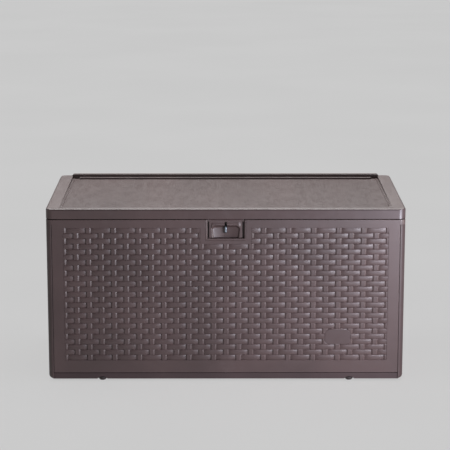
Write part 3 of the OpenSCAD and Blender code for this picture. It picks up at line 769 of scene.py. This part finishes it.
def screws(node):
    """The screws of one node, with rounded heads and a cross in each.
    A head's top is a wide round face that nothing next to it stands in front of."""
    bm = node_mesh(node)
    tops = []
    for face in bm.faces:
        radius = max((v.co - face.calc_center_median()).length for v in face.verts)
        if len(face.verts) < 20 or radius < 3.5 * MM:
            continue
        ahead = all((v.co - face.calc_center_median()).dot(face.normal) < 0.01 * MM
                    for e in face.edges for f in e.link_faces for v in f.verts)
        if ahead:
            tops.append((face.calc_center_median(), face.normal.copy()))
    round_edges(bm, 0.5 * MM, 3)
    for centre, normal in tops:
        for face in list(bm.faces):
            if len(face.verts) >= 20 and face.normal.dot(normal) > 0.99 and (
                    face.calc_center_median() - centre).length < 0.6 * MM:
                cross_recess(bm, face)
                break
    return piece(node + "_crossed", bm, [node])


def softened(node, width, segments=2, angle=50):
    bm = node_mesh(node)
    round_edges(bm, width, segments, angle)
    return piece(node + "_finished", bm, [node])


front_panel()
base_tray()
back_panel()
side_panel(1)
side_panel(-1)
lid_shell()
latch_flap()
latch_housing()
done = {"base_tray", "front_panel", "back_panel", "right_side_panel", "left_side_panel",
        "lid_shell", "latch_flap", "latch_housing"}
# How widely the other pieces' edges are rounded, in mm
WIDTHS = {"body_resin": 0.8, "inner_resin": 0.5, "latch_resin": 0.6, "hinge_resin": 0.6,
          "foot_resin": 1.5, "staple_steel": 0.6, "pin_steel": 0.3, "black_rubber": 0.4}
for node in sorted(frame["nodes"]):
    if node in done:
        continue
    if SLOT_OF[node] == "screw_zinc":
        screws(node)
    else:
        softened(node, WIDTHS[SLOT_OF[node]] * MM)


# ---- Stage ----

FLOOR_HALF, FLOOR_TONE = 60, 208
AIM = Vector((0, 0, 0.3))
SEEN_STRENGTH, LIT_STRENGTH = 0.6, 0.15
SUN_STRENGTH = 2.5
# The camera was fitted to the photo: mm, metres, and degrees down and round
LENS, CAMERA_PLACE, CAMERA_DOWN, CAMERA_TURN = 136.8, (-0.0158, -5.898, 1.681), 11.5, -0.135


def material_plain(name, value, rough):
    n = Nodes(name)
    darker, lighter = linear(*(value - 1,) * 3), linear(*(value + 1,) * 3)
    tone = n.mix(n.ramp(n.noise(0.7, 2.0), 0.3, 0.7), darker, lighter)
    return n.finish(tone, rough, specular=0.2)


def floor():
    bm = bmesh.new()
    bmesh.ops.create_grid(bm, x_segments=24, y_segments=24, size=FLOOR_HALF)
    mesh = bpy.data.meshes.new("studio_floor")
    bm.to_mesh(mesh)
    bm.free()
    obj = bpy.data.objects.new("studio_floor", mesh)
    mesh.materials.append(material_plain("studio_floor", FLOOR_TONE, 0.9))
    scene.collection.objects.link(obj)
    return obj


def softbox(name, azimuth, elevation, distance, size, power, colour=(1, 1, 1), falls_on=None):
    """A square area light aimed at the middle of the box. Azimuth 0 is in front, 90 on the right.
    It falls on all pieces, or on one group."""
    data = bpy.data.lights.new(name, "AREA")
    data.size = size
    data.energy = power
    data.color = colour
    az, el = math.radians(azimuth), math.radians(elevation)
    way = Vector((math.sin(az) * math.cos(el), -math.cos(az) * math.cos(el), math.sin(el)))
    obj = bpy.data.objects.new(name, data)
    obj.location = AIM + way * distance
    obj.rotation_euler = (-way).to_track_quat("-Z", "Y").to_euler()
    scene.collection.objects.link(obj)
    obj.light_linking.receiver_collection = falls_on or pieces


def group(name, members):
    """A collection for a light that falls on some pieces alone."""
    collection = bpy.data.collections.new(name)
    for member in members:
        collection.objects.link(member)
    return collection


def floor_light(ground):
    """Even light that falls on the floor alone, so the floor is the same pale grey all over."""
    only = group("floor_only", [ground])
    data = bpy.data.lights.new("floor_light", "SUN")
    data.angle = math.radians(40)
    data.energy = SUN_STRENGTH
    obj = bpy.data.objects.new("floor_light", data)
    obj.location = (0, 0, 6)
    scene.collection.objects.link(obj)
    obj.light_linking.receiver_collection = only
    obj.light_linking.blocker_collection = only


def studio_world():
    """A dim even surround that looks as pale as the floor."""
    world = bpy.data.worlds.new("studio")
    scene.world = world
    world.use_nodes = True
    tree = world.node_tree
    seen, lit = tree.nodes["Background"], tree.nodes.new("ShaderNodeBackground")
    seen.inputs["Color"].default_value = (1, 1, 1, 1)
    seen.inputs["Strength"].default_value = SEEN_STRENGTH
    lit.inputs["Color"].default_value = (1, 1, 1, 1)
    lit.inputs["Strength"].default_value = LIT_STRENGTH
    mix = tree.nodes.new("ShaderNodeMixShader")
    tree.links.new(tree.nodes.new("ShaderNodeLightPath").outputs["Is Camera Ray"], mix.inputs[0])
    tree.links.new(lit.outputs[0], mix.inputs[1])
    tree.links.new(seen.outputs[0], mix.inputs[2])
    tree.links.new(mix.outputs[0], tree.nodes["World Output"].inputs["Surface"])


floor_light(floor())
studio_world()
scene.view_settings.view_transform = "Standard"

softbox("rear_left_softbox", -140, 60, 5, 3, 178)
softbox("rear_right_softbox", 140, 60, 5, 3, 214)
softbox("rear_softbox", 180, 60, 5, 3, 147)

# Each of these falls on some pieces only. They are tuned to the photo, not one physical set-up.
relief = group("front_relief", [bpy.data.objects[n] for n in (
    "front_panel_woven", "latch_housing_rimmed", "latch_flap_scooped")])
lid_alone = group("lid_alone", [bpy.data.objects["lid_shell_finished"]])
below_lid = group("below_lid", [o for o in pieces.objects if o.name != "lid_shell_finished"])
softbox("right_softbox", 35, 10, 2.2, 1.0, 58, (0.98, 1.01, 1.15), below_lid)
softbox("right_skirt_softbox", 42, 0, 2.05, 0.56, 50, (0.98, 1.01, 1.17), lid_alone)
softbox("front_lid_softbox", -12, 34, 2.4, 0.8, 10, falls_on=lid_alone)
softbox("front_high_softbox", 30, 50, 5, 3, 16, falls_on=relief)
softbox("right_edge_softbox", 68, 12, 2.6, 0.8, 32, falls_on=relief)

camera_data = bpy.data.cameras.new("camera")
camera = bpy.data.objects.new("camera", camera_data)
scene.collection.objects.link(camera)
camera_data.sensor_width = 36
camera_data.lens = LENS
camera.location = CAMERA_PLACE
camera.rotation_euler = (math.radians(90 - CAMERA_DOWN), 0, math.radians(CAMERA_TURN))
camera_data.clip_end = 200
scene.camera = camera
